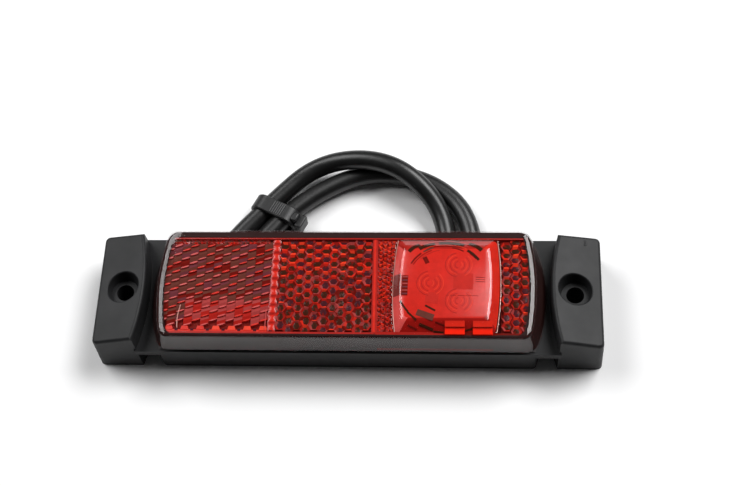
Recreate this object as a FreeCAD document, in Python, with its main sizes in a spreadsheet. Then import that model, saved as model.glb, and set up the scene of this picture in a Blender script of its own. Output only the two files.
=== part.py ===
"""Trailer tail light: a slim LED lamp, two screw lugs, reflex lens and a looped supply cable.

Millimetres. X runs along the lamp, Y across it (the cable loops leave at +Y), Z out of the
lens. The origin is the centre of the mounting face, on the surface the lamp is screwed to.
"""
import FreeCAD
import Part
import math
import os
import Sketcher

from FreeCAD import Placement, Rotation, Vector

SIZES = {
    # housing and strap
    "half_width": 16.0, "end_corner": 48.0, "end_bulge": 51.0, "plate_bottom": 7.1,
    "plate_top": 9.2, "strap_end": 54.2, "corner_round": 1.2,
    "cavity_half_width": 14.0, "cavity_corner": 46.0, "cavity_bulge": 49.0,
    "rib_one": 8.0, "rib_two": -18.0, "rib_thick": 1.2, "rib_front": 3.0, "rib_bottom": 3.1,
    # cable notches in the rear skirt, and the slot that the conductors rise through
    "notch_right": 21.8, "notch_left": -39.0, "notch_width": 14.0, "notch_left_width": 17.0,
    "slot_back": -16.1, "slot_width": 2.2, "slot_front": -4.1, "slot_length": 4.2,
    # screw lugs
    "lug_outer": 65.0, "lug_corner": 53.6, "lug_bulge": 51.4, "lug_top_outer": 64.5,
    "lug_top_corner": 53.8, "lug_top_bulge": 51.85, "lug_top_half_width": 15.0,
    "lug_blank_top": 16.0, "slope_inner": 50.0, "slope_outer": 66.0,
    "slope_inner_z": 16.06, "slope_outer_z": 12.05, "slope_clear_z": 18.0, "lug_round": 0.9,
    "lug_corner_round": 1.4,
    "core_inner": 55.8, "core_outer": 63.0, "core_near": 6.5, "core_far": 14.0, "core_top": 10.0,
    "screw_x": 58.0, "screw_radius": 2.25, "head_floor": 10.2, "head_floor_radius": 3.5,
    "head_clear_radius": 5.0, "rim_round": 0.4,
    # gland saddle and strain relief
    "exit_x": -1.0, "exit_y": -2.0, "exit_z": 3.7, "relief_radius": 3.4, "nose_radius": 2.9,
    "relief_back": -11.0, "saddle_front_x": -3.0, "saddle_bottom": 1.2, "saddle_half": 5.2,
    # lens cover and its weld line
    "seal_half_width": 15.3, "seal_corner": 47.7, "seal_bulge": 50.7, "lens_bottom": 9.5,
    "lens_half_width": 15.6, "face_z": 17.2, "face_half_width": 14.9, "face_corner": 46.6,
    "face_bulge": 48.3, "inner_half_width": 13.8, "inner_corner": 46.2, "inner_bulge": 49.2,
    "inner_z": 16.2, "inner_top_half_width": 12.6, "inner_top_corner": 44.2,
    "inner_top_bulge": 45.9,
    # raised window over the diodes
    "window_back": 12.2, "window_front": -13.8, "window_left": 12.7, "window_left_mid": 11.8,
    "window_right": 38.3, "window_right_mid": 39.1, "window_top": 19.2,
    "window_top_back": 9.3, "window_top_front": -10.8, "window_top_left": 14.7,
    "window_top_left_mid": 14.2, "window_top_right": 35.9, "window_top_right_mid": 36.4,
    "hollow_back": 9.6, "hollow_front": -11.0, "hollow_left": 14.6, "hollow_left_mid": 14.2,
    "hollow_right": 36.0, "hollow_right_mid": 36.4, "hollow_top": 18.0,
    "hollow_top_half": 8.6, "hollow_top_front": -10.0, "hollow_top_left": 16.0,
    "hollow_top_left_mid": 15.6, "hollow_top_right": 34.6, "hollow_top_right_mid": 35.0,
    # reflex panels and the backing behind them
    "panel_half_width": 12.4, "panel_bottom": 15.2, "backing_bottom": 14.4,
    "wide_left": -44.0, "wide_right": -19.4, "strip_right": -17.1, "centre_right": 7.0,
    "fine_left": 8.6, "fine_right": 12.0, "end_left": 39.6, "end_right": 44.0,
    # light box and bowl
    "light_box_left": 7.4, "light_box_right": 37.2, "box_half_width": 12.5, "box_wall": 1.0,
    "bowl_x": 24.6, "bowl_y": 0.0, "bowl_foot": 9.0, "bowl_foot_inner": 8.4, "bowl_rim": 11.4,
    "bowl_rim_inner": 10.8, "bowl_waist": 10.7, "bowl_waist_inner": 10.1, "bowl_waist_z": 13.6,
    # electronics
    "resin_half_width": 12.6, "resin_end": 44.0, "board_bottom": 10.2, "board_top": 11.4,
    "board_left": -18.0, "board_right": 35.8, "board_half_width": 11.0,
    "diode_size": 3.0, "diode_body": 0.8, "dome_radius": 1.2,
    "pair_reach_x": 2.9, "pair_reach_y": 5.0, "single_reach": 3.9,
    # cable, cores, tie
    "cable_diameter": 5.2, "core_diameter": 1.9, "strand_diameter": 1.1, "wire_diameter": 1.5,
    "tie_x": -21.1, "tie_y": 27.1, "tie_z": 3.75, "tie_turn": -26.3, "tie_half": 3.33,
    "tie_end": 7.03, "tie_end_inner": 6.08, "tie_outer": 3.7, "tie_inner": 2.75,
    "tie_width": 4.4, "tie_head_end": 8.9, "tie_head_half": 2.1, "tie_head_rise": 2.0,
}

CABLE_ROUTE = [
    (-1, -2, 3.7), (12.5, -2, 2.7), (25.7, 9, 2.7), (24.9, 26.5, 3.5), (15.2, 36.9, 8.8),
    (3.2, 41.9, 8.3), (-11.2, 41.3, 4.7), (-22.2, 30.2, 3.9), (-35.2, 15.2, 3.2),
    (-36.7, 4.4, 2.7), (-32.1, -5.3, 2.7), (-23, -11, 2.7), (-6, -11.3, 2.7),
    (10.5, -10.4, 2.7), (24.8, -5, 2.7), (32.6, 8.5, 2.7), (31.3, 27.3, 2.7),
    (19.6, 38.2, 2.7), (3, 40.6, 2.7), (-12.5, 32.3, 3.6), (-24.7, 19.2, 3.7),
    (-28.9, 9.8, 2.8), (-29, 2, 2.7),
]
CORE_ROUTES = {
    "positive": [(-28, 2, 2.7), (-27.8, -0.6, 2), (-25.4, -2.8, 1.2), (-22, -3.2, 1)],
    "negative": [(-30, 2, 2.7), (-29.8, -1.6, 2), (-27, -4.8, 1.2), (-23, -5.8, 1)],
}
TIP_ENDS = {"positive": (-18.6, -3.1, 0.9), "negative": (-19.7, -6.4, 0.9)}
WIRE_ROUTES = {
    "positive": [(-11, -1, 3.7), (-15, -1, 3.7), (-15, -1, 11.4)],
    "negative": [(-11, -3, 3.7), (-15, -3, 3.7), (-15, -3, 11.4)],
}
BOARD_PARTS = {
    # name: (centre x, centre y, length, width, height)
    "driver_chip": (-4.0, 2.0, 5.0, 4.0, 1.5), "resistor_1": (-9.0, 6.5, 3.2, 1.6, 0.6),
    "resistor_2": (2.0, -5.5, 3.2, 1.6, 0.6), "reverse_polarity_diode": (-9.5, -6.0, 4.5, 2.6, 2.0),
    "smoothing_capacitor": (3.2, 6.0, 3.2, 2.5, 1.6),
}

doc = FreeCAD.newDocument("trailer_tail_light")
sheet = doc.addObject("Spreadsheet::Sheet", "sizes")
for row, (alias, number) in enumerate(SIZES.items(), start=1):
    sheet.set(f"A{row}", alias)
    sheet.set(f"B{row}", str(number))
    sheet.setAlias(f"B{row}", alias)
doc.recompute()
parts = []


def value(name):
    """A length by its alias, with an optional minus sign, or a zero."""
    if name == "0":
        return 0.0
    return -float(sheet.get(name[1:])) if name.startswith("-") else float(sheet.get(name))


def bound(name):
    """The same length as an expression on the sheet."""
    return f"-sizes.{name[1:]}" if name.startswith("-") else f"sizes.{name}"


def keep(item, name=None):
    """Registers a finished sub-part under its node name."""
    item.Label = name or item.Name
    parts.append(item)
    return item


def pin(drawing, geometry, corner, x, y):
    """Fixes a sketch point at two sheet lengths."""
    for kind, name, axis in (("DistanceX", x, -2), ("DistanceY", y, -1)):
        if name == "0":
            drawing.addConstraint(Sketcher.Constraint("PointOnObject", geometry, corner, axis))
        else:
            index = drawing.addConstraint(
                Sketcher.Constraint(kind, -1, 1, geometry, corner, value(name)))
            drawing.setExpression(f"Constraints[{index}]", bound(name))


def outline(drawing, corners):
    """Closes a loop of (x, y) corners; a third entry (x, y) makes the side after it an arc."""
    for index, corner in enumerate(corners):
        start = Vector(value(corner[0]), value(corner[1]))
        following = corners[(index + 1) % len(corners)]
        end = Vector(value(following[0]), value(following[1]))
        if len(corner) == 3:
            middle = Vector(value(corner[2][0]), value(corner[2][1]))
            leftward = (middle - start).cross(end - middle).z > 0
            first, last = (1, 2) if leftward else (2, 1)
            ends = (start, end) if leftward else (end, start)
            side = drawing.addGeometry(Part.Arc(ends[0], middle, ends[1]))
            crown = drawing.addGeometry(Part.Point(middle), True)
            pin(drawing, crown, 1, *corner[2])
            drawing.addConstraint(Sketcher.Constraint("PointOnObject", crown, 1, side))
            pin(drawing, side, last, following[0], following[1])
        else:
            side = drawing.addGeometry(Part.LineSegment(start, end))
            first, last = 1, 2
            pin(drawing, side, last, following[0], following[1])
        pin(drawing, side, first, corner[0], corner[1])


def sketch(body, name, role="XY_Plane", height=None):
    """A sketch on one of the body's own origin planes, lifted by a sheet length."""
    drawing = body.newObject("Sketcher::SketchObject", name)
    plane = next(item for item in body.Origin.OriginFeatures if item.Role == role)
    drawing.AttachmentSupport = [(plane, "")]
    drawing.MapMode = "FlatFace"
    if height:
        drawing.setExpression("AttachmentOffset.Base.z", bound(height))
    return drawing


def extrude(body, kind, drawing, length, **settings):
    """Pads or pockets a sketch; a pocket has to take material away."""
    before = body.Shape.Volume if body.Tip else 0.0
    feature = body.newObject(f"PartDesign::{kind}", f"{drawing.Name}_{kind.lower()}")
    feature.Profile = drawing
    feature.setExpression("Length", length)
    for key, setting in settings.items():
        setattr(feature, key, setting)
    doc.recompute()
    if kind == "Pocket" and body.Shape.Volume >= before - 1e-3:
        raise RuntimeError(f"{feature.Name} cuts nothing")
    return feature


def loft(body, kind, name, first, second):
    """A ruled loft between two sketches with matching sides."""
    feature = body.newObject(f"PartDesign::{kind}Loft", name)
    feature.Profile = first
    feature.Sections = [second]
    feature.Ruled = True
    doc.recompute()
    return feature


def fillet(body, name, radius, wanted):
    """Rounds every edge of the body that wanted(edge) picks."""
    base = body.Tip
    edges = [f"Edge{n}" for n, edge in enumerate(base.Shape.Edges, start=1) if wanted(edge)]
    feature = body.newObject("PartDesign::Fillet", name)
    feature.Base = (base, edges)
    feature.setExpression("Radius", bound(radius))
    doc.recompute()
    return feature


def bulged(corner, bulge, half_width):
    """The lamp's plan: straight long sides and gently bulging ends."""
    return [(f"-{corner}", f"-{half_width}"), (corner, f"-{half_width}", (bulge, "0")),
            (corner, half_width), (f"-{corner}", half_width, (f"-{bulge}", "0"))]


def rectangle(left, right, front, back):
    """Four corners from sheet lengths."""
    return [(left, front), (right, front), (right, back), (left, back)]


def box(name, left, right, front, back, bottom, top):
    """A Part::Box whose six faces are expressions on the sheet."""
    solid = doc.addObject("Part::Box", name)
    for axis, side, low, high in (("x", "Length", left, right), ("y", "Width", front, back),
                                  ("z", "Height", bottom, top)):
        solid.setExpression(f"Placement.Base.{axis}", low)
        solid.setExpression(side, f"({high}) - ({low})")
    return solid


def cylinder(name, x, y, bottom, top, radius):
    """An upright Part::Cylinder from expressions."""
    solid = doc.addObject("Part::Cylinder", name)
    for prop, text in (("Placement.Base.x", x), ("Placement.Base.y", y),
                       ("Placement.Base.z", bottom), ("Radius", radius),
                       ("Height", f"({top}) - ({bottom})")):
        solid.setExpression(prop, text)
    return solid


def cut(name, base, *tools):
    """Base with every tool taken out of it, one Part::Cut per tool."""
    for number, tool in enumerate(tools, start=1):
        result = doc.addObject("Part::Cut", name if number == len(tools) else f"{name}_{number}")
        result.Base = base
        result.Tool = tool
        base = result
    return base


def fuse(name, base, tool):
    """Two solids as one."""
    result = doc.addObject("Part::Fuse", name)
    result.Base = base
    result.Tool = tool
    return result


def make_base():
    """Black housing: hollow centre, strap, two sloping screw lugs, notches, saddle."""
    body = doc.addObject("PartDesign::Body", "housing_body")
    plan = sketch(body, "housing_plan")
    outline(plan, bulged("end_corner", "end_bulge", "half_width"))
    extrude(body, "Pad", plan, "sizes.plate_top")
    fillet(body, "housing_corners", "corner_round", is_housing_corner)
    strap = sketch(body, "strap_plan", height="plate_bottom")
    outline(strap, rectangle("-strap_end", "strap_end", "-half_width", "half_width"))
    extrude(body, "Pad", strap, "sizes.plate_top - sizes.plate_bottom")
    for side, sign in (("right", ""), ("left", "-")):
        add_lug(body, side, sign)
    cavity = sketch(body, "cavity_plan")
    outline(cavity, bulged("cavity_corner", "cavity_bulge", "cavity_half_width"))
    extrude(body, "Pocket", cavity, "sizes.plate_bottom", Reversed=True)
    cores = sketch(body, "lug_core_plan")
    for sign in ("", "-"):
        for near, far in (("core_near", "core_far"), ("-core_far", "-core_near")):
            outline(cores, rectangle(f"{sign}core_inner", f"{sign}core_outer", near, far))
    extrude(body, "Pocket", cores, "sizes.core_top", Reversed=True)
    fillet(body, "lug_corners", "lug_corner_round", is_lug_corner)
    fillet(body, "lug_edges", "lug_round", is_lug_top_edge)
    for side, sign in (("right", ""), ("left", "-")):
        bore_lug(body, side, sign)
    fillet(body, "screw_rims", "rim_round", is_screw_rim)
    keep(finish_base(body), "mounting_base")


def is_housing_corner(edge):
    """The four upright edges of the housing."""
    centre = edge.BoundBox.Center
    return edge.BoundBox.ZLength > 5 and abs(centre.y) > value("half_width") - 0.1


def is_lug_corner(edge):
    """The two steep edges at the outer corners of each lug."""
    centre = edge.BoundBox.Center
    steep = edge.BoundBox.ZLength > 5 and abs(centre.y) > value("lug_top_half_width") - 0.1
    return steep and abs(centre.x) > value("lug_top_outer") - 1


def is_lug_top_edge(edge):
    """The edges round the sloping top of each lug."""
    box_ = edge.BoundBox
    top = box_.ZMax > value("slope_outer_z") and box_.ZMin > value("plate_top") + 2
    return top and abs(box_.Center.x) > value("lug_bulge") and box_.ZMax < value("slope_clear_z")


def is_screw_rim(edge):
    """The sloping rim of each screw recess."""
    box_ = edge.BoundBox
    near = abs(abs(box_.Center.x) - value("screw_x")) < 1 and abs(box_.Center.y) < 1
    return near and box_.ZMin > value("head_floor") + 1 and box_.YLength > 2 * value("head_floor_radius")


def add_lug(body, side, sign):
    """One drafted lug, its top cut to slope down and outwards."""
    foot = sketch(body, f"lug_foot_{side}")
    outline(foot, lug_plan(sign, "lug_corner", "lug_bulge", "lug_outer", "half_width"))
    top = sketch(body, f"lug_top_{side}", height="lug_blank_top")
    outline(top, lug_plan(sign, "lug_top_corner", "lug_top_bulge", "lug_top_outer",
                          "lug_top_half_width"))
    loft(body, "Additive", f"lug_{side}", foot, top)
    slope = sketch(body, f"lug_slope_{side}", role="XZ_Plane")
    outline(slope, [(f"{sign}slope_inner", "slope_inner_z"), (f"{sign}slope_outer", "slope_outer_z"),
                    (f"{sign}slope_outer", "slope_clear_z"), (f"{sign}slope_inner", "slope_clear_z")])
    extrude(body, "Pocket", slope, "sizes.half_width * 3", Midplane=True)


def lug_plan(sign, corner, bulge, outer, half_width):
    """A lug seen from above; its inner side bulges towards the lens."""
    return [(f"{sign}{corner}", half_width, (f"{sign}{bulge}", "0")), (f"{sign}{corner}", f"-{half_width}"),
            (f"{sign}{outer}", f"-{half_width}"), (f"{sign}{outer}", half_width)]


def bore_lug(body, side, sign):
    """The screw hole of one lug and the tapered recess for the screw's head."""
    before = body.Shape.Volume
    profile = sketch(body, f"screw_profile_{side}", role="XZ_Plane")
    profile.setExpression("AttachmentOffset.Base.x", f"{sign}sizes.screw_x")
    outline(profile, [("0", "0"), ("screw_radius", "0"), ("screw_radius", "head_floor"),
                      ("head_floor_radius", "head_floor"), ("head_clear_radius", "slope_clear_z"),
                      ("0", "slope_clear_z")])
    groove = body.newObject("PartDesign::Groove", f"screw_bore_{side}")
    groove.Profile = profile
    groove.ReferenceAxis = (profile, ["V_Axis"])
    groove.Angle = 360
    doc.recompute()
    if body.Shape.Volume >= before:
        raise RuntimeError(f"screw_bore_{side} cuts nothing")


def finish_base(body):
    """Ribs and saddle under the plate, then the notches, the saddle's bore and the slot."""
    solid = body
    for number, place in enumerate(("rib_one", "rib_two"), start=1):
        rib = box(f"rib_{number}", f"sizes.{place}", f"sizes.{place} + sizes.rib_thick", "sizes.rib_front",
                  "sizes.cavity_half_width + 0.5", "sizes.rib_bottom", "sizes.plate_bottom + 0.5")
        solid = fuse(f"base_with_rib_{number}", solid, rib)
    saddle = box("saddle_block", "sizes.relief_back", "sizes.saddle_front_x",
                 "sizes.exit_y - sizes.saddle_half", "sizes.exit_y + sizes.saddle_half",
                 "sizes.saddle_bottom", "sizes.plate_bottom + 0.5")
    bore = doc.addObject("Part::Cylinder", "saddle_bore")
    bore.Placement.Rotation = Rotation(Vector(0, 1, 0), 90)
    for prop, text in (("Placement.Base.x", "sizes.relief_back - 1"),
                       ("Placement.Base.y", "sizes.exit_y"), ("Placement.Base.z", "sizes.exit_z"),
                       ("Radius", "sizes.relief_radius"), ("Height", "-sizes.relief_back + 2")):
        bore.setExpression(prop, text)
    notches = [box(f"notch_{name}", f"sizes.{start}", f"sizes.{start} + sizes.{width}",
                   "sizes.cavity_half_width - 0.5", "sizes.half_width + 1", "-1", "sizes.plate_bottom")
               for name, start, width in (("a", "notch_right", "notch_width"),
                                          ("b", "notch_left", "notch_left_width"))]
    slot = box("conductor_slot", "sizes.slot_back", "sizes.slot_back + sizes.slot_width",
               "sizes.slot_front", "sizes.slot_front + sizes.slot_length",
               "sizes.plate_bottom - 0.5", "sizes.plate_top + 0.5")
    return cut("base_finished", fuse("base_with_saddle", solid, saddle), bore, *notches, slot)


def window_plan(left, left_mid, right, right_mid, front, back):
    """The window's plan: straight front and back, both sides gently curved."""
    return [(left, front), (right, front, (right_mid, "0")), (right, back),
            (left, back, (left_mid, "0"))]


def make_lens():
    """Clear red cover: drafted shell, raised window with a hollow underside."""
    body = doc.addObject("PartDesign::Body", "lens_cover")
    layers = (("foot", "lens_bottom", "end_corner", "end_bulge", "lens_half_width"),
              ("face", "face_z", "face_corner", "face_bulge", "face_half_width"),
              ("inner_foot", "lens_bottom", "inner_corner", "inner_bulge", "inner_half_width"),
              ("inner_face", "inner_z", "inner_top_corner", "inner_top_bulge", "inner_top_half_width"))
    drawn = {}
    for name, height, corner, bulge, half_width in layers:
        drawn[name] = sketch(body, f"lens_{name}", height=height)
        outline(drawn[name], bulged(corner, bulge, half_width))
    loft(body, "Additive", "lens_shell", drawn["foot"], drawn["face"])
    windows = (("window_foot", "face_z", "window"), ("window_crown", "window_top", "window_top"),
               ("hollow_foot", "inner_z", "hollow"), ("hollow_crown", "hollow_top", "hollow_top"))
    for name, height, prefix in windows:
        drawn[name] = sketch(body, name, height=height)
        back = "hollow_top_half" if prefix == "hollow_top" else f"{prefix}_back"
        outline(drawn[name], window_plan(f"{prefix}_left", f"{prefix}_left_mid", f"{prefix}_right",
                                         f"{prefix}_right_mid", f"{prefix}_front", back))
    loft(body, "Additive", "window_pad", drawn["window_foot"], drawn["window_crown"])
    loft(body, "Subtractive", "lens_inside", drawn["inner_foot"], drawn["inner_face"])
    loft(body, "Subtractive", "window_inside", drawn["hollow_foot"], drawn["hollow_crown"])
    keep(body)


def make_seal():
    """The weld bead between housing and lens."""
    body = doc.addObject("PartDesign::Body", "lens_seal")
    bead = sketch(body, "seal_outline", height="plate_top")
    outline(bead, bulged("seal_corner", "seal_bulge", "seal_half_width"))
    outline(bead, bulged("inner_corner", "inner_bulge", "inner_half_width"))
    extrude(body, "Pad", bead, "sizes.lens_bottom - sizes.plate_top")
    keep(body)


def make_panels():
    """Prismatic reflex panels against the lens, and the plate that backs them."""
    limits = {"reflex_panel_wide_angle": ("wide_left", "wide_right"),
              "reflex_panel_strip": ("wide_right", "strip_right"),
              "reflex_panel_centre": ("strip_right", "centre_right"),
              "reflex_panel_fine": ("fine_left", "fine_right"),
              "reflex_panel_end": ("end_left", "end_right")}
    for name, (left, right) in limits.items():
        keep(box(name, bound(left), bound(right), "-sizes.panel_half_width",
                 "sizes.panel_half_width", "sizes.panel_bottom", "sizes.inner_z"))
    keep(box("reflector_backing", "sizes.wide_left", "sizes.centre_right", "-sizes.panel_half_width",
             "sizes.panel_half_width", "sizes.backing_bottom", "sizes.panel_bottom"))


def make_light_box():
    """Red box round the diodes, open above and below, notched for the board."""
    shell = box("light_box_shell", "sizes.light_box_left", "sizes.light_box_right",
                "-sizes.box_half_width", "sizes.box_half_width", "sizes.board_bottom", "sizes.inner_z")
    room = box("light_box_room", "sizes.light_box_left + sizes.box_wall",
               "sizes.light_box_right - sizes.box_wall", "-sizes.box_half_width + sizes.box_wall",
               "sizes.box_half_width - sizes.box_wall", "sizes.board_bottom - 1", "sizes.inner_z + 1")
    gap = box("light_box_gap", "sizes.light_box_left - 1", "sizes.light_box_left + 2",
              "-sizes.board_half_width", "sizes.board_half_width", "sizes.board_bottom - 1",
              "sizes.board_top")
    keep(cut("light_box", shell, room, gap))


def make_bowl():
    """Round reflector bowl standing on the board under the window."""
    body = doc.addObject("PartDesign::Body", "reflector_bowl")
    profile = sketch(body, "bowl_profile", role="XZ_Plane")
    outline(profile, [("bowl_foot_inner", "board_top"),
                      ("bowl_foot", "board_top", ("bowl_waist", "bowl_waist_z")),
                      ("bowl_rim", "inner_z"),
                      ("bowl_rim_inner", "inner_z", ("bowl_waist_inner", "bowl_waist_z"))])
    turn = body.newObject("PartDesign::Revolution", "bowl_turn")
    turn.Profile = profile
    turn.ReferenceAxis = (profile, ["V_Axis"])
    turn.Angle = 360
    body.setExpression("Placement.Base.x", "sizes.bowl_x")
    body.setExpression("Placement.Base.y", "sizes.bowl_y")
    keep(body)


def make_board():
    """Potting resin, circuit board, its components, solder joints and rising conductors."""
    holes = {}
    for owner, bottom, top in (("resin", "plate_top", "board_bottom"), ("board", "board_bottom", "board_top")):
        holes[owner] = [cylinder(f"{owner}_hole_{pole}", str(route[-1][0]), str(route[-1][1]),
                                 f"sizes.{bottom} - 1", f"sizes.{top} + 1", "sizes.wire_diameter / 2")
                        for pole, route in WIRE_ROUTES.items()]
    resin = box("resin_slab", "-sizes.resin_end", "sizes.resin_end", "-sizes.resin_half_width",
                "sizes.resin_half_width", "sizes.plate_top", "sizes.board_bottom")
    keep(cut("potting_resin", resin, *holes["resin"]))
    board = box("board_blank", "sizes.board_left", "sizes.board_right", "-sizes.board_half_width",
                "sizes.board_half_width", "sizes.board_bottom", "sizes.board_top")
    keep(cut("circuit_board", board, *holes["board"]))
    for name, (x, y, length, width, height) in BOARD_PARTS.items():
        keep(box(name, f"{x - length / 2}", f"{x + length / 2}", f"{y - width / 2}",
                 f"{y + width / 2}", "sizes.board_top", f"sizes.board_top + {height}"))
    for pole, route in WIRE_ROUTES.items():
        joint = doc.addObject("Part::Cone", f"solder_joint_{pole}")
        joint.setExpression("Radius1", "sizes.wire_diameter / 2 + 0.2")
        joint.Radius2 = 0.4
        joint.Height = 0.8
        joint.Placement.Base = Vector(*route[-1])
        keep(joint)
        keep_tube(f"conductor_{pole}", route, value("wire_diameter"))


def make_diodes():
    """Three light diodes in a triangle inside the bowl: a square body and a clear dome."""
    middle = "sizes.bowl_x"
    places = ((f"{middle} + sizes.pair_reach_x", "sizes.pair_reach_y"),
              (f"{middle} - sizes.single_reach", "0"),
              (f"{middle} + sizes.pair_reach_x", "-sizes.pair_reach_y"))
    for number, (x, y) in enumerate(places, start=1):
        half = "sizes.diode_size / 2"
        chip = box(f"diode_chip_{number}", f"{x} - {half}", f"{x} + {half}", f"{y} - {half}",
                   f"{y} + {half}", "sizes.board_top", "sizes.board_top + sizes.diode_body")
        dome = doc.addObject("Part::Sphere", f"diode_dome_{number}")
        dome.Angle1 = 0
        for prop, text in (("Placement.Base.x", x), ("Placement.Base.y", y),
                           ("Placement.Base.z", "sizes.board_top + sizes.diode_body"),
                           ("Radius", "sizes.dome_radius")):
            dome.setExpression(prop, text)
        keep(fuse(f"light_diode_{number}", chip, dome))


def make_strain_relief():
    """Moulded rubber sleeve in the saddle, tapering to the cable."""
    body = doc.addObject("PartDesign::Body", "cable_strain_relief")
    profile = sketch(body, "relief_profile", role="XZ_Plane")
    outline(profile, [("relief_back", "0"), ("exit_x", "0"), ("exit_x", "nose_radius"),
                      ("saddle_front_x", "relief_radius"), ("relief_back", "relief_radius")])
    turn = body.newObject("PartDesign::Revolution", "relief_turn")
    turn.Profile = profile
    turn.ReferenceAxis = (profile, ["H_Axis"])
    turn.Angle = 360
    body.setExpression("Placement.Base.y", "sizes.exit_y")
    body.setExpression("Placement.Base.z", "sizes.exit_z")
    keep(body)


def rounded_path(points):
    """Straight runs joined by tangent arcs, with the arcs' radii."""
    spots = [Vector(*point) for point in points]
    edges, radii, start = [], [], spots[0]
    for before, corner, after in zip(spots, spots[1:], spots[2:]):
        back, ahead = before - corner, after - corner
        reach = 0.45 * min(back.Length, ahead.Length)
        back.normalize()
        ahead.normalize()
        half_turn = (math.pi - back.getAngle(ahead)) / 2
        radius = reach / math.tan(half_turn)
        inward = (back + ahead).normalize()
        crown = corner + inward * (radius / math.cos(half_turn) - radius)
        entry, leave = corner + back * reach, corner + ahead * reach
        edges += [Part.LineSegment(start, entry).toShape(), Part.Arc(entry, crown, leave).toShape()]
        radii.append(radius)
        start = leave
    edges.append(Part.LineSegment(start, spots[-1]).toShape())
    return Part.Wire(edges), radii


def keep_tube(name, points, diameter):
    """A solid round tube along a rounded path."""
    path, radii = rounded_path(points)
    start = path.Edges[0]
    circle = Part.Wire([Part.Circle(start.Vertexes[0].Point, start.tangentAt(start.FirstParameter),
                                    diameter / 2).toShape()])
    tube = path.makePipeShell([circle], True, True)
    expected = math.pi * diameter ** 2 / 4 * path.Length
    print(f"{name}: length {path.Length:.1f}, least radius {min(radii, default=0):.1f}, "
          f"volume {tube.Volume:.1f} of {expected:.1f}")
    if abs(tube.Volume / expected - 1) > 0.01:
        raise RuntimeError(f"{name} has the wrong volume")
    item = doc.addObject("Part::Feature", name)
    item.Shape = tube
    item.Placement = Placement()
    return keep(item)


def make_cable():
    """The looped supply cable, its two bare cores and their tinned tips."""
    keep_tube("supply_cable", CABLE_ROUTE, value("cable_diameter"))
    print("cable radii:", ", ".join(f"{radius:.1f}" for radius in rounded_path(CABLE_ROUTE)[1]))
    for pole, route in CORE_ROUTES.items():
        keep_tube(f"cable_core_{pole}", route, value("core_diameter"))
        ahead = (Vector(*route[-1]) - Vector(*route[-2])).normalize()
        middle = Vector(*route[-1]) + ahead * 1.2
        keep_tube(f"tinned_tip_{pole}", [route[-1], tuple(middle), TIP_ENDS[pole]],
                  value("strand_diameter"))


def make_tie():
    """Cable tie round both strands behind the lamp: a band and its square head."""
    body = doc.addObject("PartDesign::Body", "cable_tie_band")
    for name, end, reach in (("tie_outside", "tie_end", "tie_outer"),
                             ("tie_inside", "tie_end_inner", "tie_inner")):
        ring = sketch(body, name, role="XZ_Plane")
        outline(ring, [("-tie_half", f"-{reach}"), ("tie_half", f"-{reach}", (end, "0")),
                       ("tie_half", reach), ("-tie_half", reach, (f"-{end}", "0"))])
        kind = "Pad" if name == "tie_outside" else "Pocket"
        extrude(body, kind, ring, "sizes.tie_width", Midplane=True)
    head = box("cable_tie_head", "sizes.tie_end", "sizes.tie_head_end", "-sizes.tie_head_half",
               "sizes.tie_head_half", "-sizes.tie_head_rise", "sizes.tie_head_rise")
    doc.recompute()
    turned = Placement(Vector(value("tie_x"), value("tie_y"), value("tie_z")),
                       Rotation(Vector(0, 0, 1), value("tie_turn")))
    body.Placement = turned
    keep(body)
    keep(head)
    for axis in "xyz":
        head.setExpression(f"Placement.Base.{axis}", None)
    head.Placement = turned.multiply(head.Placement)


def check_and_write():
    """Stops on any failed object or unsound shape, then writes one file per sub-part."""
    doc.recompute()
    for item in doc.Objects:
        if "Invalid" in item.State or "Error" in item.State:
            raise RuntimeError(f"{item.Name} failed: {item.State}")
    for item in parts:
        if item.Shape.isNull() or not item.Shape.isValid() or len(item.Shape.Solids) != 1:
            raise RuntimeError(f"{item.Label} has a bad shape: {len(item.Shape.Solids)} solids")
    os.makedirs("parts", exist_ok=True)
    for item in parts:
        item.Shape.exportStep(f"parts/{item.Label}.step")
        print(f"{item.Label}: {item.Shape.Volume:.1f} mm3")


make_base()
make_lens()
make_seal()
make_panels()
make_light_box()
make_bowl()
make_board()
make_diodes()
make_strain_relief()
make_cable()
make_tie()
check_and_write()
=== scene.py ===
"""Trailer tail light: the looks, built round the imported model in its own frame."""

import math
import random

import bmesh
import bpy
from mathutils import Matrix, Vector


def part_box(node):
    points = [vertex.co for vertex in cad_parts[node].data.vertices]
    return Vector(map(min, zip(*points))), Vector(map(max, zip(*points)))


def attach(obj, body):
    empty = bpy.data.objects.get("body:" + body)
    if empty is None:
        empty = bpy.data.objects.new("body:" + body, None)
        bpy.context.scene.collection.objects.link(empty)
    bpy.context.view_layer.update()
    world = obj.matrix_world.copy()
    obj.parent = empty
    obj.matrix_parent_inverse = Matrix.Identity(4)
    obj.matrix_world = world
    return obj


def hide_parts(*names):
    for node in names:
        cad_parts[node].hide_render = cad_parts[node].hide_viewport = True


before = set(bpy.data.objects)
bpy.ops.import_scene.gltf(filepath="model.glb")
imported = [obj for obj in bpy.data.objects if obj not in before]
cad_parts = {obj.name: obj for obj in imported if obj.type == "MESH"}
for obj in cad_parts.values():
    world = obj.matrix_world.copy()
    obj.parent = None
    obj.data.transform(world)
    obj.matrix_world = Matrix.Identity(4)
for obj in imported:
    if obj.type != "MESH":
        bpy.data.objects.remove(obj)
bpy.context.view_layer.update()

MM = 0.001
BODY = "root"
Z_UP = Vector((0, 0, 1))
dice = random.Random(11)

# heights and edges of the lens, in millimetres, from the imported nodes
LENS_LOW, LENS_HIGH = (Vector(corner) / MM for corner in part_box("lens_cover"))
LENS_FOOT = LENS_LOW.z
WINDOW_RISE = 2.0
FACE = LENS_HIGH.z - WINDOW_RISE
PRISM_TOP = FACE - 0.6


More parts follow.
